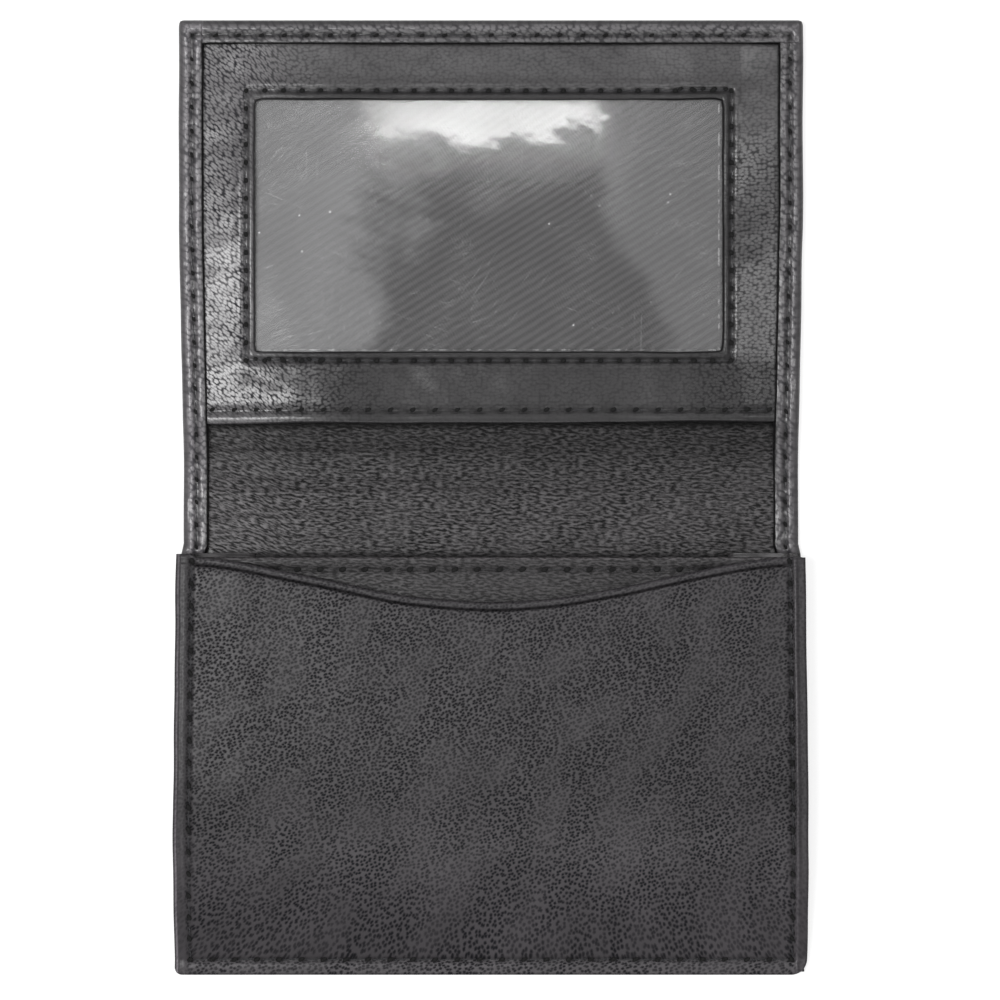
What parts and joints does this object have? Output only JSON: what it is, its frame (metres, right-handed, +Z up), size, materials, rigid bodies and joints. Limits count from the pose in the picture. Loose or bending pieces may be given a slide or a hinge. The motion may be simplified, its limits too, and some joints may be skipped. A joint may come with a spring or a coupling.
{
  "type": "card holder",
  "caption": "Black leather folding card holder lying open: a flap with a clear identity window, a soft fold strip, and a gusseted card pocket with a scooped slip pocket in front.",
  "frame": {"origin": "on the table under the middle of the open case: the bottom centre of its bounding box", "axes": "+X to the right as one looks at the open inside, +Y from the pocket's bottom edge to the flap's free edge, +Z up out of the open inside"},
  "size_m": [0.1044, 0.1574, 0.0104],
  "materials": {
    "outer_leather": "smooth black cow leather with a soft sheen",
    "pocket_leather": "pebbled black leather, mottled",
    "lining_leather": "thin wrinkled black leather",
    "black_twill": "fine diagonal twill",
    "stiffener_board": "matt grey board",
    "clear_film": "clear glossy film with fine scratches"
  },
  "bodies": {
    "back": {"shell_back": "outer_leather", "lining_back": "lining_leather", "back_board": "stiffener_board", "back_twill": "black_twill", "gusset_left": "lining_leather", "gusset_right": "lining_leather"},
    "fold_strip": {"shell_fold": "outer_leather", "lining_fold": "lining_leather"},
    "flap": {"shell_flap": "outer_leather", "lining_flap": "lining_leather", "flap_board": "stiffener_board", "flap_twill": "black_twill", "window_panel": "outer_leather", "window_film": "clear_film"},
    "pocket_front": {"divider_panel": "outer_leather", "divider_twill": "black_twill", "front_panel": "pocket_leather", "front_twill": "black_twill"}
  },
  "joints": [
    {"name": "strip_fold", "type": "hinge", "parent": "back", "child": "fold_strip", "pos_m": [0, -0.00765, 0.0016], "axis": [1, 0, 0], "range_deg": [0, 90]},
    {"name": "flap_fold", "type": "hinge", "parent": "fold_strip", "child": "flap", "pos_m": [0, 0.01035, 0.0016], "axis": [1, 0, 0], "range_deg": [0, 90]},
    {"name": "pocket_open", "type": "hinge", "parent": "back", "child": "pocket_front", "pos_m": [0, -0.07615, 0.0011], "axis": [1, 0, 0], "range_deg": [0, 3.5], "deforming": ["gusset_left", "gusset_right"]}
  ],
  "couplings": [
    {"joint": "flap_fold", "follows": "strip_fold", "ratio": 1}
  ]
}
